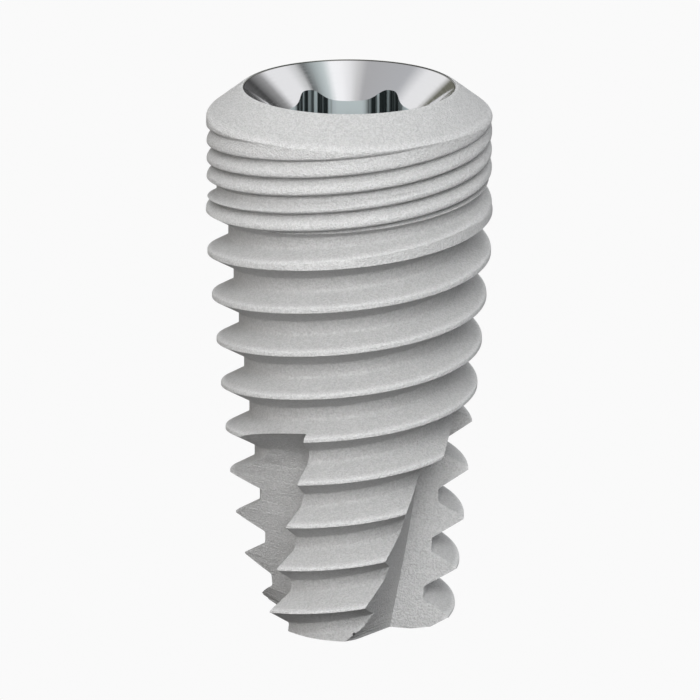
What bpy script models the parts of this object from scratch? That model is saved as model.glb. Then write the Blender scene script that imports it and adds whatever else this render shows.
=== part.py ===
"""Dental implant fixture: one turned, threaded and milled piece of titanium.

Metres, +Z up. The origin is the centre of the flat apex face, and +Z runs up the implant's axis to
the rim of the connection. The outside is a blank turned to length, a tapered two-start thread with
three helical cutting flutes at the apex, and a collar with five fine helical grooves on the same
lead. The inside is a 45 degree seating cone, a six-lobed socket and the bore of the abutment screw.
"""

import math

import bmesh
import bpy
from mathutils import Vector

MM = 0.001
TURN = 2 * math.pi

# Overall form
LENGTH = 9.68 * MM
NECK_RADIUS = 2.50 * MM
RIM_RADIUS = 1.88 * MM
RIM_LAND = 0.03 * MM
COLLAR_BEVEL_HEIGHT = 0.48 * MM
COLLAR_LENGTH = 2.70 * MM
APEX_CREST_RADIUS = 1.82 * MM
APEX_FLAT_RADIUS = 1.20 * MM
APEX_BEVEL_ANGLE = math.radians(10)

# Main thread: right-handed, deeper and with sharper crests towards the apex
THREAD_STARTS = 2
THREAD_PITCH = 0.80 * MM
THREAD_DEPTH_AT_NECK = 0.405 * MM
THREAD_DEPTH_AT_APEX = 0.52 * MM
THREAD_CREST_WIDTH_AT_NECK = 0.13 * MM
THREAD_CREST_WIDTH_AT_APEX = 0.05 * MM
THREAD_CREST_ROUNDING = 0.025 * MM
THREAD_FLANK_ANGLE = math.radians(28.5)
THREAD_RUNOUT_START = 2.53 * MM
THREAD_RUNOUT_END = 0.95 * MM
THREAD_POINTS = 5
CREST_HEIGHT_AT_ANGLE_0 = 0.315 * MM

# Collar grooves: on the thread's lead, with round ridges between them
GROOVE_STARTS = 5
GROOVE_DEPTH = 0.17 * MM
GROOVES_BELOW_RIM = 2.18 * MM
GROOVE_FADE_AT_FOOT = 0.10 * MM
GROOVE_FADE_AT_BEVEL = (1.03 * MM, 0.38 * MM)
GROOVE_HEIGHT_AT_ANGLE_0 = 0.075 * MM
STEPS_PER_RIDGE = 5

# Cutting flutes: a cutting face, a little ahead of the axis, and a back wall in a sharp corner
FLUTES = 3
FLUTE_ANGLE_AT_APEX = math.radians(-16.35)
FLUTE_TWIST_PER_MM = math.radians(8.87)
FLUTE_FACE_AHEAD = 0.20 * MM
FLUTE_INCLUDED_ANGLE = math.radians(101.5)
FLUTE_ANGLE_AT_END = math.radians(91)
FLUTE_FLARE_AT_APEX = math.radians(9)
FLUTE_FLARE_LENGTH = 0.50 * MM
FLUTE_CORNER_REACH_AT_APEX = 0.80 * MM
FLUTE_CORNER_TAPER = 0.145
FLUTE_LENGTH = 3.00 * MM
FLUTE_CLOSING_LENGTH = 0.25 * MM
FLUTE_RUNOUT = 1.13 * MM
FLUTE_RUNOUT_CURVE = 1.6
FLARE_STATIONS = 3
FLUTE_STATIONS = 12
RUNOUT_STATIONS = 9

# Connection
CONE_ANGLE = math.radians(45)
SOCKET_RADIUS = 1.245 * MM
SOCKET_DEPTH = 2.60 * MM
LOBES = 6
LOBE_RADIUS = 1.447 * MM
LOBE_HALF_ANGLE = math.radians(10)
LOBE_SHARPNESS = 3.3
STEPS_PER_LOBE = 20
BORE_RADIUS = 0.85 * MM
BORE_DEPTH = 5.60 * MM
DRILL_POINT_ANGLE = math.radians(118)

# Facets, and how far a cutter reaches past what it cuts
SEGMENTS = 64
REACH = 0.30 * MM
CREST_REACH = 0.05 * MM
MERGE_DISTANCE = 1e-6
PLANE_DISTANCE = 1e-7

# Finishes: a grey, and how rough it is
ETCHED_GREY = 0.55
ETCHED_ROUGHNESS = 0.6
POLISHED_GREY = 0.62
POLISHED_ROUGHNESS = 0.18

# Sizes that follow from the ones above
LEAD = THREAD_STARTS * THREAD_PITCH
THREAD_TOP = LENGTH - COLLAR_LENGTH
CREST_TAPER = (NECK_RADIUS - APEX_CREST_RADIUS) / THREAD_TOP
CONE_MOUTH_RADIUS = RIM_RADIUS - RIM_LAND


def share_between(value: float, start: float, end: float) -> float:
    """Say how far a value has come from start to end, from 0 to 1."""
    return min(max((value - start) / (end - start), 0.0), 1.0)


def eased(share: float) -> float:
    """Ease a share from 0 to 1 with a level start and end."""
    return share * share * (3 - 2 * share)


def crest_radius(height: float) -> float:
    """Give the cone of the thread's crests, which passes the collar's cylinder at its foot."""
    cone = NECK_RADIUS - CREST_TAPER * (THREAD_TOP - height)
    return min(cone, NECK_RADIUS + CREST_REACH)


def runout_share(height: float) -> float:
    """Say how far the thread tool has left the work, from 0 below the collar to 1."""
    start = LENGTH - THREAD_RUNOUT_START
    return share_between(height, start, LENGTH - THREAD_RUNOUT_END)


def root_radius(height: float) -> float:
    """Give the bottom of the thread groove, which climbs out of the collar over its run-out."""
    cutting = min(height, LENGTH - THREAD_RUNOUT_START)
    deeper = THREAD_DEPTH_AT_APEX - THREAD_DEPTH_AT_NECK
    depth = THREAD_DEPTH_AT_APEX - deeper * cutting / THREAD_TOP
    full = crest_radius(cutting) - depth
    clear = NECK_RADIUS + CREST_REACH / 2
    return full + (clear - full) * runout_share(height)


def crest_width(height: float) -> float:
    """Give the width of the crests, where their rounding ends."""
    narrower = THREAD_CREST_WIDTH_AT_NECK - THREAD_CREST_WIDTH_AT_APEX
    return THREAD_CREST_WIDTH_AT_APEX + narrower * share_between(height, 0, THREAD_TOP)


def thread_point(point: int, crest_height: float) -> tuple[float, float]:
    """Place a point of the thread's profile, from the top of a crest up across its groove.

    The root flat shortens from above over the run-out, as the upper side of the tool leaves first.

    Args:
        point: 0 for the top of the crest, 1 and 4 for the groove's edges on the shoulders of the
            crests below and above it, 2 and 3 for the edges of its root flat.
        crest_height: Height of the middle of that crest.

    Returns:
        The point's radius and height.
    """
    if point == 0:
        return crest_radius(crest_height), crest_height
    middle = crest_height + THREAD_PITCH / 2
    side = 1 if point > 2 else -1
    shoulder = crest_radius(middle + side * THREAD_PITCH / 2) - THREAD_CREST_ROUNDING
    root = root_radius(middle)
    below_runout = min(middle, LENGTH - THREAD_RUNOUT_START)
    full_depth = crest_radius(middle) - THREAD_CREST_ROUNDING - root_radius(below_runout)
    half_mouth = (THREAD_PITCH - crest_width(middle)) / 2
    half_root = half_mouth - full_depth * math.tan(THREAD_FLANK_ANGLE)
    if side > 0:
        half_root *= 1 - runout_share(middle)
    if point in (2, 3):
        return root, middle + side * half_root
    return shoulder, middle + side * (half_root + (shoulder - root) * math.tan(THREAD_FLANK_ANGLE))


def ridge_point(step: int, groove_height: float) -> tuple[float, float]:
    """Place a point on a collar ridge, a rounded arch between two sharp groove bottoms.

    Args:
        step: Number of the point on the arch, from 0 at the groove below the ridge.
        groove_height: Height of that groove.

    Returns:
        The point's radius and height.
    """
    share = step / STEPS_PER_RIDGE
    height = groove_height + share * LEAD / GROOVE_STARTS
    foot = LENGTH - GROOVES_BELOW_RIM
    fade_start, fade_end = (LENGTH - below_rim for below_rim in GROOVE_FADE_AT_BEVEL)
    depth = GROOVE_DEPTH * eased(share_between(height, foot, foot + GROOVE_FADE_AT_FOOT))
    depth *= 1 - eased(share_between(height, fade_start, fade_end))
    return NECK_RADIUS - depth * (2 * share - 1) ** 2, height


def object_from(name: str, bm: bmesh.types.BMesh) -> bpy.types.Object:
    """Turn a bmesh into an object of the scene, with its faces pointing out."""
    bmesh.ops.recalc_face_normals(bm, faces=bm.faces)
    mesh = bpy.data.meshes.new(name)
    bm.to_mesh(mesh)
    bm.free()
    made = bpy.data.objects.new(name, mesh)
    bpy.context.scene.collection.objects.link(made)
    return made


def turned(name: str, profile: list[tuple[float, float]]) -> bpy.types.Object:
    """Revolve a profile of radius and height, whose first and last points lie on the axis."""
    bm = bmesh.new()
    points = [bm.verts.new((radius, 0, height)) for radius, height in profile]
    edges = [bm.edges.new(pair) for pair in zip(points, points[1:])]
    bmesh.ops.spin(
        bm, geom=points + edges, cent=(0, 0, 0), axis=(0, 0, 1), angle=TURN, steps=SEGMENTS
    )
    bmesh.ops.remove_doubles(bm, verts=bm.verts, dist=MERGE_DISTANCE)
    return object_from(name, bm)


def helical(name: str, starts: int, steps: int, offset: float, place) -> bpy.types.Object:
    """Make a solid of the thread's lead, with a helical profile and level ends.

    A column of points is spun once round while it climbs one lead, and the seam is merged. Each
    point then moves to where the profile has it.

    Args:
        name: The object's name.
        starts: How many times the profile repeats in one lead.
        steps: How many points the profile has.
        offset: Height at which the profile starts at angle 0.
        place: Function of a point's number in the profile and its profile's height there, which
            gives a radius and a height.

    Returns:
        The closed object.
    """
    spacing = LEAD / starts / steps
    bottom = -REACH
    top = LENGTH + REACH
    first = math.floor((bottom - 2 * LEAD - offset) / spacing)
    last = math.ceil((top + LEAD - offset) / spacing)
    bm = bmesh.new()
    points = [
        bm.verts.new((NECK_RADIUS, 0, offset + number * spacing)) for number in range(first, last)
    ]
    edges = [bm.edges.new(pair) for pair in zip(points, points[1:])]
    bmesh.ops.spin(
        bm,
        geom=points + edges,
        cent=(0, 0, 0),
        axis=(0, 0, 1),
        dvec=(0, 0, LEAD / SEGMENTS),
        angle=TURN,
        steps=SEGMENTS,
    )
    bmesh.ops.remove_doubles(bm, verts=bm.verts, dist=MERGE_DISTANCE)
    for vert in bm.verts:
        angle = math.atan2(vert.co.y, vert.co.x)
        number = round((vert.co.z - offset - LEAD * angle / TURN) / spacing) % steps
        radius, height = place(number, vert.co.z - number * spacing)
        vert.co = (radius * math.cos(angle), radius * math.sin(angle), height)
    for level, above in ((bottom, True), (top, False)):
        bmesh.ops.bisect_plane(
            bm,
            geom=bm.verts[:] + bm.edges[:] + bm.faces[:],
            dist=PLANE_DISTANCE,
            plane_co=(0, 0, level),
            plane_no=(0, 0, 1),
            clear_inner=above,
            clear_outer=not above,
        )
    for level in (bottom, top):
        rim = [
            edge
            for edge in bm.edges
            if edge.is_boundary and all(abs(v.co.z - level) < MERGE_DISTANCE for v in edge.verts)
        ]
        bmesh.ops.edgeloop_fill(bm, edges=rim)
    return object_from(name, bm)


def prism(name: str, sections: list[list[Vector]]) -> bpy.types.Object:
    """Skin a run of sections that have the same number of points, and close both ends."""
    bm = bmesh.new()
    rings = [[bm.verts.new(point) for point in section] for section in sections]
    for lower, upper in zip(rings, rings[1:]):
        for index in range(len(lower)):
            after = (index + 1) % len(lower)
            bm.faces.new((lower[index], lower[after], upper[after], upper[index]))
    bm.faces.new(rings[0])
    bm.faces.new(rings[-1])
    return object_from(name, bm)


def flute_section(height: float) -> list[Vector]:
    """Give the flute's corner at a height and the far ends of its cutting face and back wall.

    Past its full length the flute closes up a little, turns half as fast and curves out of the thread.
    """
    past_end = max(height - FLUTE_LENGTH, 0.0)
    closing = eased(share_between(past_end, 0, FLUTE_CLOSING_LENGTH))
    leaving = (past_end / FLUTE_RUNOUT) ** FLUTE_RUNOUT_CURVE
    flare = 1 - share_between(height, 0, FLUTE_FLARE_LENGTH)
    face = FLUTE_ANGLE_AT_APEX + FLUTE_TWIST_PER_MM * (height - past_end / 2) / MM
    opening = FLUTE_INCLUDED_ANGLE + FLUTE_FLARE_AT_APEX * flare
    opening -= (FLUTE_INCLUDED_ANGLE - FLUTE_ANGLE_AT_END) * closing
    corner_reach = FLUTE_CORNER_REACH_AT_APEX + FLUTE_CORNER_TAPER * (height - past_end)
    corner_reach += (NECK_RADIUS - corner_reach) * leaving
    along_face = Vector((math.cos(face), math.sin(face), 0)) * NECK_RADIUS
    wall = face - opening
    along_wall = Vector((math.cos(wall), math.sin(wall), 0)) * NECK_RADIUS
    ahead = Vector((math.sin(face), -math.cos(face), 0)) * FLUTE_FACE_AHEAD
    corner = along_face.normalized() * corner_reach + ahead + Vector((0, 0, height))
    return [corner, corner + along_face, corner + along_face + along_wall, corner + along_wall]


def levels(start: float, end: float, count: int) -> list[float]:
    """Give evenly spaced heights from a start up to an end, without the start itself."""
    return [start + (end - start) * number / count for number in range(1, count + 1)]


def flute_cutter() -> bpy.types.Object:
    """Make the cutter of one flute, from below the apex to where it has left the thread."""
    heights = [-REACH, 0.0]
    heights += levels(0, FLUTE_FLARE_LENGTH, FLARE_STATIONS)
    heights += levels(FLUTE_FLARE_LENGTH, FLUTE_LENGTH, FLUTE_STATIONS)
    heights += levels(FLUTE_LENGTH, FLUTE_LENGTH + FLUTE_RUNOUT, RUNOUT_STATIONS)
    return prism("flute_cutter", [flute_section(height) for height in heights])


def lobe_outline(height: float) -> list[Vector]:
    """Give the socket's outline at a height: six round lobes that flow into one another."""
    points = []
    for step in range(LOBES * STEPS_PER_LOBE):
        angle = TURN * (step / STEPS_PER_LOBE - 0.5) / LOBES
        aside = (angle + TURN / LOBES / 2) % (TURN / LOBES) - TURN / LOBES / 2
        share = 1 / (1 + (abs(aside) / LOBE_HALF_ANGLE) ** LOBE_SHARPNESS)
        radius = SOCKET_RADIUS + (LOBE_RADIUS - SOCKET_RADIUS) * share
        points.append(Vector((radius * math.cos(angle), radius * math.sin(angle), height)))
    return points


def turned_blank() -> bpy.types.Object:
    """Turn the blank: the apex with its bevelled edge, room for the thread, and the collar bevel."""
    outside = NECK_RADIUS + REACH
    apex_edge = (outside - APEX_FLAT_RADIUS) * math.tan(APEX_BEVEL_ANGLE)
    bevel_fall = COLLAR_BEVEL_HEIGHT / (NECK_RADIUS - RIM_RADIUS)
    profile = [
        (0, 0),
        (APEX_FLAT_RADIUS, 0),
        (outside, apex_edge),
        (outside, LENGTH - bevel_fall * (outside - RIM_RADIUS)),
        (RIM_RADIUS, LENGTH),
        (0, LENGTH),
    ]
    return turned("implant_fixture", profile)


def bore_cutter() -> bpy.types.Object:
    """Turn the cutter of the seating cone, the screw bore and its drill point."""
    fall = 1 / math.tan(CONE_ANGLE)
    bore_bottom = LENGTH - BORE_DEPTH
    point_depth = BORE_RADIUS / math.tan(DRILL_POINT_ANGLE / 2)
    profile = [
        (0, LENGTH + REACH),
        (CONE_MOUTH_RADIUS + REACH / fall, LENGTH + REACH),
        (BORE_RADIUS, LENGTH - (CONE_MOUTH_RADIUS - BORE_RADIUS) * fall),
        (BORE_RADIUS, bore_bottom),
        (0, bore_bottom - point_depth),
    ]
    return turned("bore_cutter", profile)


def socket_cutter() -> bpy.types.Object:
    """Make the six-lobed cutter of the socket, which ends above in the open cone."""
    floor = LENGTH - SOCKET_DEPTH
    return prism("socket_cutter", [lobe_outline(floor), lobe_outline(LENGTH + REACH)])


def cut(body: bpy.types.Object, tool: bpy.types.Object, operation: str) -> None:
    """Give the body a boolean with a tool, which passes on its own finish, and mark the tool."""
    step = body.modifiers.new(tool.name, "BOOLEAN")
    step.operation = operation
    step.solver = "MANIFOLD"
    step.material_mode = "TRANSFER"
    step.object = tool
    tool.hide_render = True
    tool.display_type = "WIRE"


def titanium(name: str, grey: float, roughness: float) -> bpy.types.Material:
    """Make a finish of bare titanium."""
    material = bpy.data.materials.new(name)
    material.use_nodes = True
    shader = material.node_tree.nodes["Principled BSDF"]
    shader.inputs["Base Color"].default_value = (grey, grey, grey, 1)
    shader.inputs["Metallic"].default_value = 1.0
    shader.inputs["Roughness"].default_value = roughness
    return material


def main() -> None:
    """Turn the blank, thread it, groove its collar, and cut its flutes and connection."""
    for old in list(bpy.data.objects):
        bpy.data.objects.remove(old, do_unlink=True)
    etched = titanium("etched_titanium", ETCHED_GREY, ETCHED_ROUGHNESS)
    polished = titanium("polished_titanium", POLISHED_GREY, POLISHED_ROUGHNESS)
    fixture = turned_blank()
    fixture.data.materials.append(etched)
    forms = [
        helical("thread_form", THREAD_STARTS, THREAD_POINTS, CREST_HEIGHT_AT_ANGLE_0, thread_point),
        helical(
            "collar_form", GROOVE_STARTS, STEPS_PER_RIDGE, GROOVE_HEIGHT_AT_ANGLE_0, ridge_point
        ),
    ]
    for form in forms:
        form.data.materials.append(etched)
        cut(fixture, form, "INTERSECT")
    for number in range(FLUTES):
        cutter = flute_cutter()
        cutter.rotation_euler.z = TURN * number / FLUTES
        cutter.data.materials.append(etched)
        cut(fixture, cutter, "DIFFERENCE")
    for cutter in (bore_cutter(), socket_cutter()):
        cutter.data.materials.append(polished)
        cut(fixture, cutter, "DIFFERENCE")


if __name__ == "__main__":
    main()
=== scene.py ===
"""Studio scene of a dental implant fixture, with the fine surface of the turned part.

Metres, +Z up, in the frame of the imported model: the origin is the centre of the flat apex face and
+Z runs up the implant's axis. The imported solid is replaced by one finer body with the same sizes:
rounded thread crests and roots, smooth collar ridges, smooth helical flutes and a smooth six-lobed
connection, in blasted and etched titanium outside and polished titanium inside.
"""

from __future__ import annotations

import logging
import math
from collections.abc import Callable
from dataclasses import dataclass
from enum import Enum

import bmesh
import bpy
from mathutils import Matrix, Vector

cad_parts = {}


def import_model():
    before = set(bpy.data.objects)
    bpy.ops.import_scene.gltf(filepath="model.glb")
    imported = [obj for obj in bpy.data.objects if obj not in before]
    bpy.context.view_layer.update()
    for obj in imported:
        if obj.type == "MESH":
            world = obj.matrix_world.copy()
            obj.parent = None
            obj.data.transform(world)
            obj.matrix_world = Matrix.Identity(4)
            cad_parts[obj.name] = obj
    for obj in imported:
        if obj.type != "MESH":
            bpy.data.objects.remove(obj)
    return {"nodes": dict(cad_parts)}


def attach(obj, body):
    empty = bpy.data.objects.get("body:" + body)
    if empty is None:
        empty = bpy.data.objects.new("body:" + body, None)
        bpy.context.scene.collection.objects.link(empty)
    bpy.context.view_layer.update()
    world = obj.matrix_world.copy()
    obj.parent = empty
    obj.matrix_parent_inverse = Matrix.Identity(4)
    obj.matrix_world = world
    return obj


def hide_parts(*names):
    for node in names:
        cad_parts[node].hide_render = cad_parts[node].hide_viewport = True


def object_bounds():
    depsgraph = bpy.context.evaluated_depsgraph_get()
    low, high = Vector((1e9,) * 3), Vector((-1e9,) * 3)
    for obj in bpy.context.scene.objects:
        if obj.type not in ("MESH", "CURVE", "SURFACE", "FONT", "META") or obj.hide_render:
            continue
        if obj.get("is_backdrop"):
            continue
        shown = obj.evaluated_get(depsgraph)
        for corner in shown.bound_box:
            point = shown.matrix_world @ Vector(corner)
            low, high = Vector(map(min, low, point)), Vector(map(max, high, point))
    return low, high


LOG = logging.getLogger("implant_scene")

MM = 0.001
TURN = 2 * math.pi
MERGE_DISTANCE = 1e-7
REACH = 0.30 * MM
NODE = "implant_fixture"

Point = tuple[float, float]
Triple = tuple[float, float, float]
Colour = tuple[float, float, float, float]
Profile = Callable[[float], list[Point]]


def share_between(value: float, start: float, end: float) -> float:
    """Say how far a value has come from start to end, from 0 to 1."""
    return min(max((value - start) / (end - start), 0.0), 1.0)


def eased(share: float) -> float:
    """Ease a share from 0 to 1 with a level start and end."""
    return share * share * (3 - 2 * share)


def levels(start: float, end: float, count: int) -> list[float]:
    """Give evenly spaced heights from a start up to an end, without the start itself."""
    return [start + (end - start) * number / count for number in range(1, count + 1)]


def rounded(before: Point, corner: Point, after: Point, reach: float, steps: int) -> list[Point]:
    """Round a corner of a profile with a curve that leaves both of its sides smoothly.

    Args:
        before: The profile's point before the corner.
        corner: The sharp corner.
        after: The profile's point after it.
        reach: How far along each side the curve starts, at most half of the shorter side.
        steps: Number of points of the curve.

    Returns:
        The curve's points, from the side before to the side after.
    """
    middle = Vector(corner)
    sides = [Vector(before) - middle, Vector(after) - middle]
    reach = min([reach] + [side.length / 2 for side in sides])
    start, end = (middle + side.normalized() * reach for side in sides)
    points = []
    for step in range(steps):
        along = step / (steps - 1)
        point = start * (1 - along) ** 2 + middle * 2 * along * (1 - along) + end * along**2
        points.append((point.x, point.y))
    return points


def object_from(name: str, bm: bmesh.types.BMesh) -> bpy.types.Object:
    """Turn a bmesh into an object of the scene, with its faces pointing out.

    Args:
        name: The object's name.
        bm: The shape, which is freed.

    Returns:
        The object.
    """
    bmesh.ops.recalc_face_normals(bm, faces=bm.faces)
    mesh = bpy.data.meshes.new(name)
    bm.to_mesh(mesh)
    bm.free()
    made = bpy.data.objects.new(name, mesh)
    bpy.context.scene.collection.objects.link(made)
    return made


def turned(name: str, profile: list[Point], segments: int) -> bpy.types.Object:
    """Revolve a profile once round the axis.

    Args:
        name: The object's name.
        profile: Points as radius and height. The first and the last lie on the axis.
        segments: Number of steps round the axis.

    Returns:
        The closed object.
    """
    bm = bmesh.new()
    points = [bm.verts.new((radius, 0, height)) for radius, height in profile]
    edges = [bm.edges.new(pair) for pair in zip(points, points[1:])]
    bmesh.ops.spin(
        bm,
        geom=points + edges,
        cent=(0, 0, 0),
        axis=(0, 0, 1),
        angle=TURN,
        steps=segments,
        use_merge=True,
    )
    bmesh.ops.remove_doubles(bm, verts=bm.verts, dist=MERGE_DISTANCE)
    return object_from(name, bm)


def lofted(name: str, sections: list[list[Vector]]) -> bpy.types.Object:
    """Draw a closed outline out through a run of sections, and cap both ends.

    Args:
        name: The object's name.
        sections: The outlines in order, each with the same number of points.

    Returns:
        The closed object.
    """
    bm = bmesh.new()
    ring = [bm.verts.new(point) for point in sections[0]]
    foot = rim = [bm.edges.new(pair) for pair in zip(ring, ring[1:] + ring[:1])]
    for section in sections[1:]:
        grown = bmesh.ops.extrude_edge_only(bm, edges=rim)["geom"]
        made = [item for item in grown if isinstance(item, bmesh.types.BMVert)]
        ring = [min(made, key=lambda new: (new.co - old.co).length_squared) for old in ring]
        for vert, point in zip(ring, section):
            vert.co = point
        rim = [bm.edges.get(pair) for pair in zip(ring, ring[1:] + ring[:1])]
    for edges in (foot, rim):
        bmesh.ops.edgeloop_fill(bm, edges=edges)
    return object_from(name, bm)


class Finish(Enum):
    """The finishes of the fixture, by the number of their material slot."""

    ETCHED = 0
    POLISHED = 1
    MILLED = 2


@dataclass(frozen=True)
class HelicalForm:
    """A solid with a profile that winds round the axis.

    The profile repeats a whole number of times in each lead, once for each start.
    """

    name: str
    lead: float
    starts: int
    offset: float
    points: int
    low: float
    high: float
    segments: int = 180
    column_radius: float = 1.0 * MM
    level_tolerance: float = 0.01 * MM

    def build(self, profile: Profile, bottom: float, top: float) -> bpy.types.Object:
        """Wind the profile between the low and high level, and close it with plain ends.

        Args:
            profile: Function of the height at which one profile starts. It gives the profile's
                points as radius and height.
            bottom: Level down to which the form is carried on straight.
            top: Level up to which it is carried on straight.

        Returns:
            The closed object.
        """
        bm = self.column()
        self.place(bm, profile)
        for level, above in ((self.low, True), (self.high, False)):
            bmesh.ops.bisect_plane(
                bm,
                geom=bm.verts[:] + bm.edges[:] + bm.faces[:],
                dist=MERGE_DISTANCE,
                plane_co=(0, 0, level),
                plane_no=(0, 0, 1),
                clear_inner=above,
                clear_outer=not above,
            )
        for level, end in ((self.low, bottom), (self.high, top)):
            self.close(bm, level, end)
        return object_from(self.name, bm)

    def column(self) -> bmesh.types.BMesh:
        """Spin a column of points once round while it climbs one lead, and merge the seam.

        Returns:
            The tube, with a point for each one of the profiles.
        """
        spacing = self.lead / self.starts / self.points
        first = math.floor((self.low - 2 * self.lead - self.offset) / spacing)
        last = math.ceil((self.high + self.lead - self.offset) / spacing)
        bm = bmesh.new()
        points = [
            bm.verts.new((self.column_radius, 0, self.offset + number * spacing))
            for number in range(first, last)
        ]
        edges = [bm.edges.new(pair) for pair in zip(points, points[1:])]
        bmesh.ops.spin(
            bm,
            geom=points + edges,
            cent=(0, 0, 0),
            axis=(0, 0, 1),
            dvec=(0, 0, self.lead / self.segments),
            angle=TURN,
            steps=self.segments,
        )
        bmesh.ops.remove_doubles(bm, verts=bm.verts, dist=MERGE_DISTANCE)
        return bm

    def place(self, bm: bmesh.types.BMesh, profile: Profile) -> None:
        """Move each point of the spun column to its place in the profile.

        Args:
            bm: The spun column.
            profile: Function of the height at which one profile starts.
        """
        pitch = self.lead / self.starts
        spacing = pitch / self.points
        known: dict[tuple[int, int], list[Point]] = {}
        for vert in bm.verts:
            angle = math.atan2(vert.co.y, vert.co.x)
            climb = self.offset + self.lead * angle / TURN
            repeat, index = divmod(round((vert.co.z - climb) / spacing), self.points)
            key = (round(angle * self.segments / TURN), repeat)
            if key not in known:
                known[key] = profile(climb + repeat * pitch)
            radius, height = known[key][index]
            vert.co = (radius * math.cos(angle), radius * math.sin(angle), height)

    def close(self, bm: bmesh.types.BMesh, level: float, end: float) -> None:
        """Carry the open rim at a level on to an end level, and fill it there.

        Args:
            bm: The cut column.
            level: Level of the open rim.
            end: Level at which it is filled.
        """
        rim = [
            edge
            for edge in bm.edges
            if edge.is_boundary
            and all(abs(v.co.z - level) < self.level_tolerance for v in edge.verts)
        ]
        if end != level:
            grown = bmesh.ops.extrude_edge_only(bm, edges=rim)["geom"]
            for item in grown:
                if isinstance(item, bmesh.types.BMVert):
                    item.co.z = end
            rim = [
                item
                for item in grown
                if isinstance(item, bmesh.types.BMEdge)
                and all(abs(v.co.z - end) < MERGE_DISTANCE for v in item.verts)
            ]
        bmesh.ops.edgeloop_fill(bm, edges=rim)


@dataclass(frozen=True)
class Blank:
    """The turned bar: the flat apex with its bevelled edge, and the collar's bevel to the rim."""

    length: float = 9.68 * MM
    neck_radius: float = 2.50 * MM
    rim_radius: float = 1.88 * MM
    bevel_height: float = 0.48 * MM
    apex_flat_radius: float = 1.20 * MM
    apex_bevel_angle: float = math.radians(10)
    edge_rounding: float = 0.06 * MM
    bevel_rounding: float = 0.10 * MM
    bevel_clearance: float = 0.005 * MM
    rounding_steps: int = 7
    segments: int = 180

    def build(self) -> bpy.types.Object:
        """Turn the blank, with room outside for the thread.

        Returns:
            The closed object.
        """
        outside = self.neck_radius + REACH
        apex_edge = (outside - self.apex_flat_radius) * math.tan(self.apex_bevel_angle)
        slope = self.bevel_height / (self.neck_radius - self.rim_radius)
        collar = self.neck_radius + self.bevel_clearance
        bevel_foot = self.length - slope * (collar - self.rim_radius)
        step = bevel_foot - 2 * self.bevel_rounding
        corners = [
            (0.0, 0.0),
            (self.apex_flat_radius, 0.0),
            (outside, apex_edge),
            (outside, step),
            (collar, step),
            (collar, bevel_foot),
            (self.rim_radius, self.length),
            (0.0, self.length),
        ]
        profile = corners[:1]
        profile += rounded(*corners[0:3], self.edge_rounding, self.rounding_steps)
        profile += corners[2:5]
        profile += rounded(*corners[4:7], self.bevel_rounding, self.rounding_steps)
        profile += rounded(*corners[5:8], self.edge_rounding, self.rounding_steps)
        profile += corners[7:]
        return turned("fixture_body", profile, self.segments)


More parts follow.
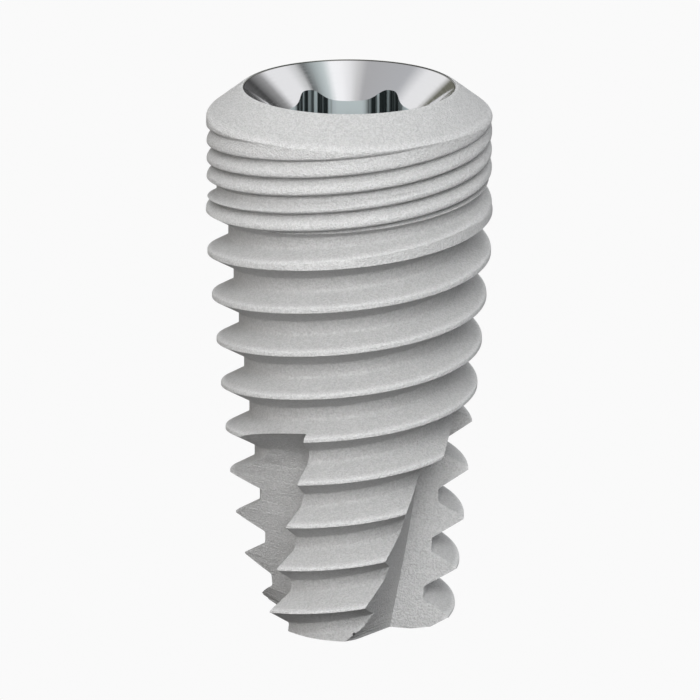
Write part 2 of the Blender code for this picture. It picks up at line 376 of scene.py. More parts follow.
@dataclass(frozen=True)
class TaperedThread:
    """The two-start bone thread, deeper towards the apex, with its run-out in the collar."""

    blank: Blank
    starts: int = 2
    pitch: float = 0.80 * MM
    collar_length: float = 2.70 * MM
    apex_crest_radius: float = 1.82 * MM
    depth_at_neck: float = 0.405 * MM
    depth_at_apex: float = 0.52 * MM
    crest_flat_at_neck: float = 0.105 * MM
    crest_flat_at_apex: float = 0.025 * MM
    flank_angle: float = math.radians(28.5)
    runout_start: float = 2.53 * MM
    runout_end: float = 0.95 * MM
    crest_height_at_angle_0: float = 0.315 * MM
    crest_reach: float = 0.05 * MM
    crest_foot_rounding: float = 0.015 * MM
    crest_head_rounding: float = 0.09 * MM
    root_foot_rounding: float = 0.05 * MM
    root_head_rounding: float = 0.04 * MM
    edge_steps: int = 4
    crest_steps: int = 7
    root_steps: int = 5

    @property
    def lead(self) -> float:
        """Give the height that one turn of the thread climbs."""
        return self.starts * self.pitch

    @property
    def top(self) -> float:
        """Give the height at which the collar begins."""
        return self.blank.length - self.collar_length

    def crest_radius(self, height: float) -> float:
        """Give the cone of the crests, which passes the collar's cylinder at its foot.

        Args:
            height: Height above the apex.

        Returns:
            The radius there.
        """
        taper = (self.blank.neck_radius - self.apex_crest_radius) / self.top
        cone = self.blank.neck_radius - taper * (self.top - height)
        return min(cone, self.blank.neck_radius + self.crest_reach)

    def runout_share(self, height: float) -> float:
        """Say how far the thread tool has left the work, from 0 below the collar to 1."""
        length = self.blank.length
        return share_between(height, length - self.runout_start, length - self.runout_end)

    def root_radius(self, height: float) -> float:
        """Give the bottom of the groove, which climbs out of the collar over its run-out.

        Args:
            height: Height above the apex.

        Returns:
            The radius there.
        """
        cutting = min(height, self.blank.length - self.runout_start)
        deeper = self.depth_at_apex - self.depth_at_neck
        full = self.crest_radius(cutting) - self.depth_at_apex + deeper * cutting / self.top
        clear = self.blank.neck_radius + self.crest_reach / 2
        return full + (clear - full) * self.runout_share(height)

    def crest_flat(self, height: float) -> float:
        """Give the width of the crests' flat, which sharpens towards the apex."""
        wider = self.crest_flat_at_neck - self.crest_flat_at_apex
        return self.crest_flat_at_apex + wider * share_between(height, 0, self.top)

    def profile(self, crest_height: float) -> list[Point]:
        """Give one pitch of the profile, from the middle of a crest up across its groove.

        Args:
            crest_height: Height of the middle of the crest.

        Returns:
            Points as radius and height.
        """
        slope = math.tan(self.flank_angle)
        middle = crest_height + self.pitch / 2
        root = self.root_radius(middle)
        below_runout = min(middle, self.blank.length - self.runout_start)
        full_depth = self.crest_radius(middle) - self.root_radius(below_runout)
        half_root = (self.pitch - self.crest_flat(middle)) / 2 - full_depth * slope
        above = half_root * (1 - self.runout_share(middle))
        low_crest = self.crest_radius(crest_height)
        high_crest = self.crest_radius(crest_height + self.pitch)
        corners = [
            (low_crest, crest_height),
            (low_crest, middle - half_root - (low_crest - root) * slope),
            (root, middle - half_root),
            (root, middle + above),
            (high_crest, middle + above + (high_crest - root) * slope),
            (high_crest, crest_height + self.pitch),
        ]
        roundings = [
            (self.crest_head_rounding, self.crest_steps),
            (self.root_foot_rounding, self.root_steps),
            (self.root_head_rounding, self.root_steps),
            (self.crest_foot_rounding, self.edge_steps),
        ]
        points = corners[:1]
        for number, (reach, steps) in enumerate(roundings):
            points += rounded(*corners[number : number + 3], reach, steps)
        return points

    def build(self) -> bpy.types.Object:
        """Make the solid whose surface is the thread, to be intersected with the blank.

        Returns:
            The closed object.
        """
        form = HelicalForm(
            name="thread_form",
            lead=self.lead,
            starts=self.starts,
            offset=self.crest_height_at_angle_0,
            points=1 + self.edge_steps + self.crest_steps + 2 * self.root_steps,
            low=-REACH,
            high=self.blank.length - self.runout_end + self.pitch,
        )
        return form.build(self.profile, -REACH, self.blank.length + REACH)


@dataclass(frozen=True)
class CollarGrooves:
    """Five fine helical grooves on the thread's lead, with rounded ridges between them."""

    blank: Blank
    lead: float
    starts: int = 5
    depth: float = 0.17 * MM
    foot_below_rim: float = 2.18 * MM
    foot_fade: float = 0.10 * MM
    bevel_fade_start: float = 1.03 * MM
    bevel_fade_end: float = 0.38 * MM
    height_at_angle_0: float = 0.130 * MM
    edge_share: float = 0.20
    edge_inset: float = 0.02 * MM
    edge_fall: int = 4
    fullness: float = 2.2
    steps: int = 16
    room_below: float = 0.02 * MM
    room_above: float = 0.05 * MM

    def inward(self, share: float) -> float:
        """Say how deep in the groove a ridge is: steep up to its lower edge, then gently round.

        Args:
            share: How far up the ridge, from the bottom of one groove to the next.

        Returns:
            The depth as a share of the full depth.
        """
        edge = self.edge_inset / self.depth
        if share < self.edge_share:
            return 1 - (1 - edge) * share / self.edge_share
        past = (share - self.edge_share) / (1 - self.edge_share)
        left = edge * (1 - past) ** self.edge_fall
        return left + past**self.fullness * (1 - left)

    def profile(self, groove_height: float) -> list[Point]:
        """Give one ridge, from the sharp bottom of the groove below it.

        Args:
            groove_height: Height of that bottom.

        Returns:
            Points as radius and height.
        """
        length = self.blank.length
        foot = length - self.foot_below_rim
        fade = (length - self.bevel_fade_start, length - self.bevel_fade_end)
        points = []
        for step in range(self.steps):
            share = step / self.steps
            height = groove_height + share * self.lead / self.starts
            depth = self.depth * eased(share_between(height, foot, foot + self.foot_fade))
            depth *= 1 - eased(share_between(height, *fade))
            points.append((self.blank.neck_radius - depth * self.inward(share), height))
        return points

    def build(self) -> bpy.types.Object:
        """Make the solid whose surface is the grooved collar, to be intersected with the blank.

        Returns:
            The closed object.
        """
        form = HelicalForm(
            name="collar_form",
            lead=self.lead,
            starts=self.starts,
            offset=self.height_at_angle_0,
            points=self.steps,
            low=self.blank.length - self.foot_below_rim - self.room_below,
            high=self.blank.length - self.bevel_fade_end + self.room_above,
        )
        return form.build(self.profile, -2 * REACH, self.blank.length + 2 * REACH)


@dataclass(frozen=True)
class CuttingFlutes:
    """Three helical flutes at the apex, each with a cutting face and a back wall."""

    blank: Blank
    count: int = 3
    angle_at_apex: float = math.radians(-16.35)
    twist_per_mm: float = math.radians(8.87)
    face_ahead: float = 0.20 * MM
    included_angle: float = math.radians(101.5)
    angle_at_end: float = math.radians(91)
    flare_at_apex: float = math.radians(9)
    flare_length: float = 0.50 * MM
    corner_reach_at_apex: float = 0.80 * MM
    corner_taper: float = 0.145
    length: float = 3.00 * MM
    closing_start: float = 3.00 * MM
    closing_end: float = 3.30 * MM
    runout: float = 1.13 * MM
    runout_curve: float = 2.2
    flare_stations: int = 8
    stations: int = 45
    runout_stations: int = 28

    def section(self, height: float) -> list[Vector]:
        """Give a cutter's outline at a height.

        Args:
            height: Height above the apex.

        Returns:
            The flute's corner, the far end of its cutting face, the outer corner, and the far
            end of its back wall.
        """
        past_end = max(height - self.length, 0.0)
        closing = eased(share_between(height, self.closing_start, self.closing_end))
        leaving = (past_end / self.runout) ** self.runout_curve
        flare = 1 - share_between(height, 0, self.flare_length)
        face = self.angle_at_apex + self.twist_per_mm * (height - past_end / 2) / MM
        opening = self.included_angle + self.flare_at_apex * flare
        opening -= (self.included_angle - self.angle_at_end) * closing
        corner_reach = self.corner_reach_at_apex + self.corner_taper * (height - past_end)
        corner_reach += (self.blank.neck_radius - corner_reach) * leaving
        across = self.blank.neck_radius
        along_face = Vector((math.cos(face), math.sin(face), 0))
        wall = face - opening
        along_wall = Vector((math.cos(wall), math.sin(wall), 0)) * across
        ahead = Vector((math.sin(face), -math.cos(face), 0)) * self.face_ahead
        corner = along_face * corner_reach + ahead + Vector((0, 0, height))
        far_face = corner + along_face * across
        return [corner, far_face, far_face + along_wall, corner + along_wall]

    def build(self) -> list[bpy.types.Object]:
        """Make one cutter for each flute, placed round the axis in its mesh.

        Returns:
            The closed cutters.
        """
        heights = [-REACH, 0.0]
        heights += levels(0, self.flare_length, self.flare_stations)
        heights += levels(self.flare_length, self.length, self.stations)
        heights += levels(self.length, self.length + self.runout, self.runout_stations)
        cutters = []
        for number in range(self.count):
            cutter = lofted("flute_cutter", [self.section(height) for height in heights])
            cutter.data.transform(Matrix.Rotation(TURN * number / self.count, 4, "Z"))
            cutters.append(cutter)
        return cutters


@dataclass(frozen=True)
class Connection:
    """The seating cone, the six-lobed socket and the bore of the abutment screw."""

    blank: Blank
    rim_land: float = 0.03 * MM
    mouth_rounding: float = 0.03 * MM
    mouth_steps: int = 5
    cone_angle: float = math.radians(45)
    socket_radius: float = 1.245 * MM
    socket_depth: float = 2.60 * MM
    lobes: int = 6
    lobe_radius: float = 1.447 * MM
    lobe_half_angle: float = math.radians(10)
    lobe_sharpness: float = 3.3
    lobe_steps: int = 40
    bore_radius: float = 0.85 * MM
    bore_depth: float = 5.60 * MM
    drill_point_angle: float = math.radians(118)
    segments: int = 180

    def bore(self) -> bpy.types.Object:
        """Turn the cutter of the seating cone, the screw bore and its drill point.

        Returns:
            The closed cutter.
        """
        length = self.blank.length
        mouth = self.blank.rim_radius - self.rim_land
        fall = 1 / math.tan(self.cone_angle)
        bottom = length - self.bore_depth
        point_depth = self.bore_radius / math.tan(self.drill_point_angle / 2)
        edge = [
            (mouth + REACH, length),
            (mouth, length),
            (mouth - REACH, length - REACH * fall),
        ]
        profile = [(0.0, length + REACH), (mouth + REACH, length + REACH), edge[0]]
        profile += rounded(*edge, self.mouth_rounding, self.mouth_steps)
        profile += [
            (self.bore_radius, length - (mouth - self.bore_radius) * fall),
            (self.bore_radius, bottom),
            (0.0, bottom - point_depth),
        ]
        return turned("bore_cutter", profile, self.segments)

    def outline(self, height: float) -> list[Vector]:
        """Give the socket's outline at a height: six round lobes that flow into one another.

        Args:
            height: Height above the apex.

        Returns:
            The outline's points, once round the axis.
        """
        sector = TURN / self.lobes
        points = []
        for step in range(self.lobes * self.lobe_steps):
            angle = sector * step / self.lobe_steps
            aside = (angle + sector / 2) % sector - sector / 2
            share = 1 / (1 + (abs(aside) / self.lobe_half_angle) ** self.lobe_sharpness)
            radius = self.socket_radius + (self.lobe_radius - self.socket_radius) * share
            points.append(Vector((radius * math.cos(angle), radius * math.sin(angle), height)))
        return points

    def socket(self) -> bpy.types.Object:
        """Make the lobed cutter of the socket, which ends above in the open cone.

        Returns:
            The closed cutter.
        """
        floor = self.blank.length - self.socket_depth
        top = self.blank.length + REACH
        return lofted("socket_cutter", [self.outline(floor), self.outline(top)])


class Wiring:
    """Adds nodes to a node tree and joins them up."""

    def __init__(self, tree: bpy.types.NodeTree) -> None:
        """Keep the tree to work on."""
        self.tree = tree

    def feed(self, node: bpy.types.Node, inputs: dict[str | int, object]) -> None:
        """Give a node's inputs a value or another node's output.

        Args:
            node: The node.
            inputs: Values or outputs for its inputs, by their name or number.
        """
        for name, value in inputs.items():
            if isinstance(value, bpy.types.NodeSocket):
                self.tree.links.new(value, node.inputs[name])
            else:
                node.inputs[name].default_value = value

    def add(
        self, kind: str, inputs: dict[str | int, object] | None = None, **settings: object
    ) -> bpy.types.Node:
        """Add a node, set it up and feed its inputs.

        Args:
            kind: The node's type.
            inputs: Values or outputs for its inputs, by their name or number.
            settings: Properties of the node itself.

        Returns:
            The node.
        """
        node = self.tree.nodes.new(kind)
        for name, value in settings.items():
            setattr(node, name, value)
        self.feed(node, inputs or {})
        return node

    def sum_up(
        self, operation: str, *terms: bpy.types.NodeSocket | float
    ) -> bpy.types.NodeSocket:
        """Work out one step of arithmetic on values or outputs."""
        return self.add("ShaderNodeMath", dict(enumerate(terms)), operation=operation).outputs[0]

    def band(self, value: bpy.types.NodeSocket, low: float, high: float) -> bpy.types.NodeSocket:
        """Rise smoothly from 0 to 1 as a value goes from low to high."""
        inputs = {"Value": value, "From Min": low, "From Max": high}
        return self.add("ShaderNodeMapRange", inputs, interpolation_type="SMOOTHSTEP").outputs[0]

    def spread(self, share: bpy.types.NodeSocket, low: float, high: float) -> bpy.types.NodeSocket:
        """Go evenly from low to high as a share goes from 0 to 1."""
        inputs = {"Value": share, "To Min": low, "To Max": high}
        return self.add("ShaderNodeMapRange", inputs).outputs["Result"]

    def mix(
        self, factor: object, first: object, second: object, blend: str = "MIX"
    ) -> bpy.types.NodeSocket:
        """Mix two colours.

        Args:
            factor: How much of the second there is, a value or an output.
            first: The first colour, a value or an output.
            second: The second colour, likewise.
            blend: The way in which they are mixed.

        Returns:
            The mixed colour.
        """
        inputs = {"Factor": factor, "A": first, "B": second}
        node = self.add("ShaderNodeMix", inputs, data_type="RGBA", blend_type=blend)
        return node.outputs["Result"]

    def noise(
        self,
        place: bpy.types.NodeSocket,
        scale: bpy.types.NodeSocket | float,
        **settings: float,
    ) -> bpy.types.NodeSocket:
        """Lay a noise over a place, with its Detail, Roughness or Distortion as given."""
        inputs = {"Vector": place, "Scale": scale, **settings}
        return self.add("ShaderNodeTexNoise", inputs).outputs["Fac"]

    def bump(self, height: bpy.types.NodeSocket, depth: float) -> bpy.types.NodeSocket:
        """Tilt the normal by a height, which stands for the given depth."""
        return self.add("ShaderNodeBump", {"Height": height, "Distance": depth}).outputs["Normal"]

    def about_axis(self, place: bpy.types.NodeSocket) -> tuple[bpy.types.NodeSocket, ...]:
        """Work out where a place lies about the axis.

        Args:
            place: The place, in Object coordinates.

        Returns:
            The place without its height, its distance to the axis, and its height.
        """
        parts = self.add("ShaderNodeSeparateXYZ", {0: place}).outputs
        flat = self.add("ShaderNodeCombineXYZ", {"X": parts["X"], "Y": parts["Y"]}).outputs[0]
        radius = self.add("ShaderNodeVectorMath", {0: flat}, operation="LENGTH").outputs["Value"]
        return flat, radius, parts["Z"]


def new_group(name: str, inputs: dict[str, float], outputs: list[str]) -> bpy.types.NodeTree:
    """Make an empty shader node group, with a place input first.

    Args:
        name: The group's name.
        inputs: The names of its value inputs, with the value of each.
        outputs: The names of its value outputs.

    Returns:
        The group.
    """
    group = bpy.data.node_groups.new(name, "ShaderNodeTree")
    group.interface.new_socket("Place", in_out="INPUT", socket_type="NodeSocketVector")
    for label, value in inputs.items():
        socket = group.interface.new_socket(label, in_out="INPUT", socket_type="NodeSocketFloat")
        socket.default_value = value
    for label in outputs:
        group.interface.new_socket(label, in_out="OUTPUT", socket_type="NodeSocketFloat")
    return group


def new_material(name: str) -> tuple[bpy.types.Material, Wiring, bpy.types.Node]:
    """Make a material with one plain shader.

    Args:
        name: The material's name.

    Returns:
        The material, the wiring of its nodes, and its shader.
    """
    material = bpy.data.materials.new(name)
    material.use_nodes = True
    return material, Wiring(material.node_tree), material.node_tree.nodes["Principled BSDF"]


@dataclass(frozen=True)
class MetalGrain:
    """The grain of a blasted and etched surface: two sizes of blurred pits over a slow mottle."""

    scale: float = 20000.0
    fine_detail: float = 2.5
    fine_roughness: float = 0.55
    coarse_share: float = 0.55
    coarse_weight: float = 0.60
    coarse_detail: float = 1.5
    coarse_distortion: float = 0.6
    mottle_share: float = 0.06
    mottle_detail: float = 2.0
    pit_edge: float = 0.97
    pit_bottom: float = 0.65

    def group(self) -> bpy.types.NodeTree:
        """Make the node group.

        Returns:
            The group, which puts out the grain's height, a mask of its pits, and its mottle.
        """
        group = new_group("metal_grain", {"Scale": self.scale}, ["Height", "Pits", "Mottle"])
        wiring = Wiring(group)
        given = wiring.add("NodeGroupInput").outputs
        place, scale = given["Place"], given["Scale"]
        fine = wiring.noise(place, scale, Detail=self.fine_detail, Roughness=self.fine_roughness)
        coarse = wiring.noise(
            place,
            wiring.sum_up("MULTIPLY", scale, self.coarse_share),
            Detail=self.coarse_detail,
            Distortion=self.coarse_distortion,
        )
        height = wiring.sum_up("MULTIPLY_ADD", coarse, self.coarse_weight, fine)
        slow = wiring.sum_up("MULTIPLY", scale, self.mottle_share)
        mottle = wiring.noise(place, slow, Detail=self.mottle_detail)
        pits = wiring.band(height, self.pit_edge, self.pit_bottom)
        wiring.add("NodeGroupOutput", {"Height": height, "Pits": pits, "Mottle": mottle})
        return group


@dataclass(frozen=True)
class PaintedCrestHighlight:
    """Painted highlight on the crests and ridges, which are known by their distance to the crests'
    cone.

    The mask is soft above and ends at the sharp edge below, where the surface turns down.
    """

    neck_radius: float = 2.50 * MM
    apex_radius: float = 1.82 * MM
    top: float = 6.98 * MM
    depth: float = 0.12 * MM
    downward: float = -0.65
    outward: float = -0.35

    def group(self) -> bpy.types.NodeTree:
        """Make the node group.

        Returns:
            The group, which puts out the mask of the painted crest highlight.
        """
        sizes = {"Neck": self.neck_radius, "Apex": self.apex_radius}
        sizes.update({"Top": self.top, "Depth": self.depth})
        group = new_group("painted_crest_highlight", sizes, ["CrestHighlight"])
        wiring = Wiring(group)
        given = wiring.add("NodeGroupInput").outputs
        _, radius, level = wiring.about_axis(given["Place"])
        share = wiring.sum_up("MINIMUM", wiring.sum_up("DIVIDE", level, given["Top"]), 1.0)
        wider = wiring.sum_up("SUBTRACT", given["Neck"], given["Apex"])
        cone = wiring.sum_up("MULTIPLY_ADD", share, wider, given["Apex"])
        below = wiring.sum_up("DIVIDE", wiring.sum_up("SUBTRACT", cone, radius), given["Depth"])
        near = wiring.band(below, 1.0, 0.0)
        # The normal's upward part keeps the painted highlight off faces that turn down, where shade
        # falls.
        normal = wiring.add("ShaderNodeNewGeometry").outputs["Normal"]
        upright = wiring.add("ShaderNodeSeparateXYZ", {0: normal}).outputs["Z"]
        facing = wiring.band(upright, self.downward, self.outward)
        wiring.add("NodeGroupOutput", {"CrestHighlight": wiring.sum_up("MULTIPLY", near, facing)})
        return group


@dataclass(frozen=True)
class LatheRings:
    """The fine rings that a lathe leaves round the axis."""

    scale: float = 30000.0
    detail: float = 1.0
    low: float = 0.40
    high: float = 0.65

    def group(self) -> bpy.types.NodeTree:
        """Make the node group.

        Returns:
            The group, which puts out the rings' height and a mask of them.
        """
        group = new_group("lathe_rings", {"Scale": self.scale}, ["Height", "Rings"])
        wiring = Wiring(group)
        given = wiring.add("NodeGroupInput").outputs
        _, radius, level = wiring.about_axis(given["Place"])
        along = wiring.add("ShaderNodeCombineXYZ", {"X": radius, "Y": level}).outputs[0]
        rings = wiring.noise(along, given["Scale"], Detail=self.detail)
        mask = wiring.band(rings, self.low, self.high)
        wiring.add("NodeGroupOutput", {"Height": rings, "Rings": mask})
        return group


@dataclass(frozen=True)
class LobeShadeAndStreaks:
    """Masks for the painted shade in the socket's lobes and for the painted upright reflection
    streaks in them.
    """

    wall_radius: float = 1.26 * MM
    lobe_radius: float = 1.30 * MM
    painted_streak_scale: float = 11000.0
    painted_streak_detail: float = 2.0
    painted_streak_low: float = 0.48
    painted_streak_high: float = 0.66

    def group(self) -> bpy.types.NodeTree:
        """Make the node group.

        Returns:
            The group, which puts out masks of the shaded lobes and of the painted streaks.
        """
        sizes = {"Wall": self.wall_radius, "Lobe": self.lobe_radius}
        group = new_group("lobe_shade_and_streaks", sizes, ["Lobes", "PaintedStreaks"])
        wiring = Wiring(group)
        given = wiring.add("NodeGroupInput").outputs
        flat, radius, _ = wiring.about_axis(given["Place"])
        # Painted shade: the lobes, out past the wall radius, are masked to be darkened.
        lobes = wiring.band(radius, given["Wall"], given["Lobe"])
        # Painted reflection: upright noise marks out light streaks in the lobes.
        streak_noise = wiring.noise(flat, self.painted_streak_scale, Detail=self.painted_streak_detail)
        mask = wiring.band(streak_noise, self.painted_streak_low, self.painted_streak_high)
        wiring.add("NodeGroupOutput", {"Lobes": lobes, "PaintedStreaks": mask})
        return group


@dataclass(frozen=True)
class EtchedTitanium:
    """Titanium that was blasted with grit and etched: matt, pale grey and finely pitted."""

    grey: Colour = (0.49, 0.49, 0.49, 1.0)
    # Painted highlight: the lighter grey of the crests and ridges that face up and out.
    crest_highlight_grey: Colour = (0.60, 0.60, 0.60, 1.0)
    pit_shade: float = 0.17
    mottle_shade: float = 0.05
    metallic: float = 0.20
    specular: float = 0.25
    roughness: float = 0.72
    pit_roughness: float = 0.80
    grain_scale: float = 34000.0
    grain_height: float = 0.028 * MM

    def material(
        self, grain: bpy.types.NodeTree, crest: bpy.types.NodeTree
    ) -> bpy.types.Material:
        """Make the material.

        Args:
            grain: The node group of the grain.
            crest: The node group of the painted crest highlight's mask.

        Returns:
            The material, with its grain on Object coordinates.
        """
        material, wiring, shader = new_material("etched_titanium")
        place = wiring.add("ShaderNodeTexCoord").outputs["Object"]
        inputs = {"Place": place, "Scale": self.grain_scale}
        surface = wiring.add("ShaderNodeGroup", inputs, node_tree=grain).outputs
        crest_light = wiring.add("ShaderNodeGroup", {"Place": place}, node_tree=crest).outputs
        # Painted highlight: crests and ridges facing up and out are mixed to a lighter grey,
        # standing in for the light they catch.
        plain = wiring.mix(crest_light["CrestHighlight"], self.grey, self.crest_highlight_grey)
        pitted = wiring.sum_up("MULTIPLY_ADD", surface["Pits"], -self.pit_shade, 1.0)
        shade = wiring.sum_up("MULTIPLY_ADD", surface["Mottle"], self.mottle_shade, pitted)
        finish = {
            "Metallic": self.metallic,
            "Specular IOR Level": self.specular,
            "Base Color": wiring.mix(1.0, plain, shade, "MULTIPLY"),
            "Roughness": wiring.spread(surface["Pits"], self.roughness, self.pit_roughness),
            "Normal": wiring.bump(surface["Height"], self.grain_height),
        }
        wiring.feed(shader, finish)
        return material


@dataclass(frozen=True)
class PolishedTitanium:
    """Titanium turned and polished bright, with a dark band on the rounded edge of its mouth."""

    grey: Colour = (0.64, 0.64, 0.65, 1.0)
    edge_grey: Colour = (0.12, 0.12, 0.11, 1.0)
    edge_height: float = 9.655 * MM
    edge_blend: float = 0.008 * MM
    metallic: float = 1.0
    roughness: float = 0.07
    ring_roughness: float = 0.12
    ring_scale: float = 34000.0
    ring_height: float = 0.00004 * MM

    def material(self, lathe: bpy.types.NodeTree) -> bpy.types.Material:
        """Make the material.

        Args:
            lathe: The node group of the rings that the lathe leaves.

        Returns:
            The material, with its rings on Object coordinates.
        """
        material, wiring, shader = new_material("polished_titanium")
        place = wiring.add("ShaderNodeTexCoord").outputs["Object"]
        inputs = {"Place": place, "Scale": self.ring_scale}
        surface = wiring.add("ShaderNodeGroup", inputs, node_tree=lathe).outputs
        height = wiring.add("ShaderNodeSeparateXYZ", {0: place}).outputs["Z"]
        # Dark base colour from the edge height up over the mouth's rounded edge.
        edge = wiring.band(height, self.edge_height, self.edge_height + self.edge_blend)
        finish = {
            "Metallic": self.metallic,
            "Base Color": wiring.mix(edge, self.grey, self.edge_grey),
            "Roughness": wiring.spread(surface["Rings"], self.roughness, self.ring_roughness),
            "Normal": wiring.bump(surface["Height"], self.ring_height),
        }
        wiring.feed(shader, finish)
        return material


@dataclass(frozen=True)
class MilledTitanium:
    """Titanium milled with a small cutter: pale walls, painted shade in the lobes and painted
    upright reflection streaks.
    """

    wall_grey: Colour = (0.60, 0.66, 0.67, 1.0)
    # Painted shade: near-black colour of the lobes, standing in for the shade and dark reflections
    # in them.
    lobe_painted_shade: Colour = (0.015, 0.02, 0.02, 1.0)
    # Painted reflection: paler streaks laid over the lobes' painted shade.
    painted_streak_grey: Colour = (0.40, 0.46, 0.47, 1.0)
    metallic: float = 0.45
    roughness: float = 0.20

    def material(self, lobe: bpy.types.NodeTree) -> bpy.types.Material:
        """Make the material.

        Args:
            lobe: The node group of the painted lobe shade and reflection streaks.

        Returns:
            The material, with its painted streaks on Object coordinates.
        """
        material, wiring, shader = new_material("milled_titanium")
        place = wiring.add("ShaderNodeTexCoord").outputs["Object"]
        surface = wiring.add("ShaderNodeGroup", {"Place": place}, node_tree=lobe).outputs
        # Painted shade in the lobes, with painted reflection streaks, over the pale walls.
        streaked_shade = wiring.mix(surface["PaintedStreaks"], self.lobe_painted_shade, self.painted_streak_grey)
        finish = {
            "Metallic": self.metallic,
            "Roughness": self.roughness,
            "Base Color": wiring.mix(surface["Lobes"], self.wall_grey, streaked_shade),
        }
        wiring.feed(shader, finish)
        return material


@dataclass(frozen=True)
class Fixture:
    """The whole fixture: one body cut from the blank, in its three finishes."""

    blank: Blank
    sharp_angle: float = math.radians(28)

    def build(self) -> bpy.types.Object:
        """Cut the body, give it its finishes and smooth its shading.

        Returns:
            The finished piece, with its place in its mesh.
        """
        thread = TaperedThread(self.blank)
        finishes = [
            EtchedTitanium().material(MetalGrain().group(), PaintedCrestHighlight().group()),
            PolishedTitanium().material(LatheRings().group()),
            MilledTitanium().material(LobeShadeAndStreaks().group()),
        ]
        connection = Connection(self.blank)
        body = self.blank.build()
        steps = [
            (thread.build(), "INTERSECT", Finish.ETCHED),
            (CollarGrooves(self.blank, thread.lead).build(), "INTERSECT", Finish.ETCHED),
        ]
        steps += [
            (cutter, "DIFFERENCE", Finish.ETCHED) for cutter in CuttingFlutes(self.blank).build()
        ]
        steps.append((connection.bore(), "DIFFERENCE", Finish.POLISHED))
        steps.append((connection.socket(), "DIFFERENCE", Finish.MILLED))
        body.data.materials.append(finishes[Finish.ETCHED.value])
        for tool, operation, finish in steps:
            tool.data.materials.append(finishes[finish.value])
            step = body.modifiers.new(tool.name, "BOOLEAN")
            step.operation = operation
            step.solver = "MANIFOLD"
            step.material_mode = "TRANSFER"
            step.object = tool
        return self.settled(body, [tool for tool, _, _ in steps])

    def settled(
        self, body: bpy.types.Object, tools: list[bpy.types.Object]
    ) -> bpy.types.Object:
        """Keep what the cuts leave as a plain mesh, and take the tools away.

        Args:
            body: The blank, with a modifier for each cut.
            tools: The objects that cut it.

        Returns:
            The body, triangulated and with smooth shading up to its sharp edges.
        """
        depsgraph = bpy.context.evaluated_depsgraph_get()
        mesh = bpy.data.meshes.new_from_object(body.evaluated_get(depsgraph))
        body.modifiers.clear()
        body.data = mesh
        for tool in tools:
            bpy.data.objects.remove(tool, do_unlink=True)
        bm = bmesh.new()
        bm.from_mesh(mesh)
        bmesh.ops.dissolve_degenerate(bm, dist=MERGE_DISTANCE, edges=bm.edges)
        bmesh.ops.triangulate(bm, faces=bm.faces)
        bm.to_mesh(mesh)
        bm.free()
        mesh.shade_smooth()
        mesh.set_sharp_from_angle(angle=self.sharp_angle)
        return body


@dataclass(frozen=True)
class Lamp:
    """A square soft light that faces the fixture."""

    name: str
    place: Triple
    size: float
    power: float
    colour: Triple = (1.0, 1.0, 1.0)

    def hang(self, target: Vector) -> bpy.types.Object:
        """Hang the light at its place.

        Args:
            target: The point that it faces.

        Returns:
            The light.
        """
        data = bpy.data.lights.new(self.name, "AREA")
        data.shape = "SQUARE"
        data.size = self.size
        data.energy = self.power
        data.color = self.colour
        lamp = bpy.data.objects.new(self.name, data)
        lamp.location = self.place
        lamp.rotation_euler = (Vector(self.place) - target).to_track_quat("Z", "Y").to_euler()
        bpy.context.scene.collection.objects.link(lamp)
        return lamp


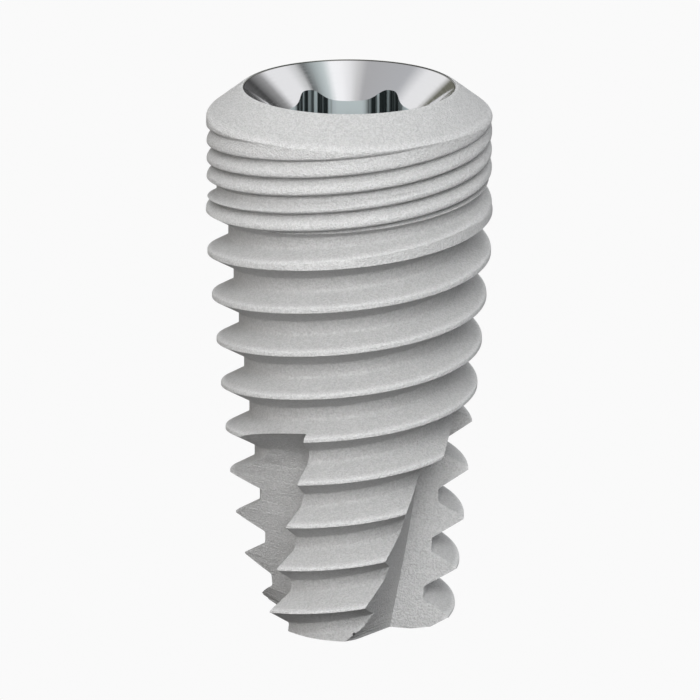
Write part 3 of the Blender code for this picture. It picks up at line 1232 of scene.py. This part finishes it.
@dataclass(frozen=True)
class Studio:
    """The pale floor, the soft lights round and above it, and the camera.

    Each strip of light overhead is an angle from straight up, in degrees, and its colour there.
    """

    view_angle: float = math.radians(15.57)
    camera_distance: float = 0.40
    view_width: float = 12.2285 * MM
    clip_start: float = 0.01
    clip_end: float = 10.0
    target: Triple = (0.013 * MM, 0.0, 4.915 * MM)
    floor_size: float = 4.0
    floor_white: float = 0.955
    floor_grey: float = 0.15
    strip_strength: float = 2.0
    lamps: tuple[Lamp, ...] = (
        Lamp("key", (0.02, -0.43, 0.26), 0.30, 2.60),
        Lamp("warm_fill", (-0.46, -0.16, 0.03), 0.20, 0.75, (1.0, 0.95, 0.93)),
        Lamp("cool_fill", (0.40, 0.30, 0.12), 0.20, 0.25, (0.90, 0.94, 1.0)),
        Lamp("back_fill", (0.0, 0.36, 0.42), 0.20, 0.50),
    )
    strips: tuple[Colour, ...] = (
        (-90, 0.20, 0.20, 0.17),
        (-60, 0.20, 0.20, 0.16),
        (-54, 1.18, 1.18, 1.18),
        (-44, 1.18, 1.18, 1.19),
        (-37, 0.64, 0.65, 0.67),
        (-12, 0.60, 0.60, 0.61),
        (-6, 0.88, 0.88, 0.88),
        (0, 1.18, 1.18, 1.19),
        (6, 1.36, 1.36, 1.37),
        (12, 1.38, 1.39, 1.40),
        (17, 0.80, 0.88, 0.88),
        (23, 0.52, 0.58, 0.58),
        (28.5, 0.19, 0.20, 0.20),
        (32, 0.85, 0.86, 0.86),
        (37, 1.18, 1.18, 1.19),
        (46, 1.18, 1.18, 1.19),
        (50, 0.42, 0.42, 0.42),
        (58, 0.08, 0.08, 0.08),
        (63, 0.12, 0.12, 0.12),
        (90, 0.14, 0.14, 0.15),
    )

    def floor(self) -> bpy.types.Object:
        """Lay the pale floor, which throws little light back up.

        Returns:
            The floor.
        """
        bm = bmesh.new()
        bmesh.ops.create_grid(bm, x_segments=1, y_segments=1, size=self.floor_size / 2)
        floor = object_from("studio_floor", bm)
        material, wiring, shader = new_material("pale_floor")
        grey = (self.floor_grey, self.floor_grey, self.floor_grey, 1)
        wiring.feed(shader, {"Base Color": grey, "Roughness": 1.0, "Specular IOR Level": 0.0})
        seen = wiring.add("ShaderNodeLightPath").outputs["Is Camera Ray"]
        white = wiring.add("ShaderNodeEmission", {"Strength": self.floor_white}).outputs[0]
        inputs = {0: seen, 1: shader.outputs[0], 2: white}
        mixed = wiring.add("ShaderNodeMixShader", inputs).outputs[0]
        wiring.feed(material.node_tree.nodes["Material Output"], {"Surface": mixed})
        floor.data.materials.append(material)
        return floor

    def camera(self) -> bpy.types.Object:
        """Place the camera at the photograph's angle, far off with a long lens.

        Returns:
            The camera.
        """
        data = bpy.data.cameras.new("camera")
        data.lens = data.sensor_width * self.camera_distance / self.view_width
        data.clip_start = self.clip_start
        data.clip_end = self.clip_end
        camera = bpy.data.objects.new("camera", data)
        towards = Vector((0, -math.cos(self.view_angle), math.sin(self.view_angle)))
        camera.location = Vector(self.target) + towards * self.camera_distance
        camera.rotation_euler = towards.to_track_quat("Z", "Y").to_euler()
        bpy.context.scene.collection.objects.link(camera)
        bpy.context.scene.camera = camera
        return camera

    def ceiling(self) -> bpy.types.World:
        """Make the soft light strips overhead, which run from the front to the back.

        Returns:
            The world.
        """
        world = bpy.data.worlds.new("studio")
        world.use_nodes = True
        wiring = Wiring(world.node_tree)
        direction = wiring.add("ShaderNodeTexCoord").outputs["Generated"]
        parts = wiring.add("ShaderNodeSeparateXYZ", {0: direction}).outputs
        angle = wiring.sum_up("ARCTAN2", parts["X"], parts["Z"])
        share = wiring.sum_up("MULTIPLY_ADD", angle, 1 / math.pi, 0.5)
        ramp = wiring.add("ShaderNodeValToRGB", {0: share})
        elements = ramp.color_ramp.elements
        for number, (degrees, *colour) in enumerate(self.strips):
            position = degrees / 180 + 0.5
            element = elements[number] if number < 2 else elements.new(position)
            element.position = position
            element.color = (*(channel / self.strip_strength for channel in colour), 1)
        light = {"Color": ramp.outputs["Color"], "Strength": self.strip_strength}
        wiring.feed(world.node_tree.nodes["Background"], light)
        return world

    def build(self) -> None:
        """Set up the world, the floor, the lights and the camera."""
        scene = bpy.context.scene
        scene.view_settings.view_transform = "Standard"
        scene.world = self.ceiling()
        self.floor()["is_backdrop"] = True
        for lamp in self.lamps:
            lamp.hang(Vector(self.target))
        self.camera()


def main() -> None:
    """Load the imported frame, put the fine fixture in its place and light it."""
    logging.basicConfig(level=logging.INFO, format="%(name)s: %(message)s")
    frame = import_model()
    solid_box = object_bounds()
    LOG.info("frame: %d node in %.1f mm", len(frame["nodes"]), solid_box[1][2] / MM)
    blank = Blank()
    piece = Fixture(blank).build()
    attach(piece, "root")
    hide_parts(NODE)
    LOG.info("%s: %d triangles", piece.name, len(piece.data.polygons))
    Studio().build()
    repr([[list(corner) for corner in box] for box in (solid_box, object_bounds())])


if __name__ == "__main__":
    main()
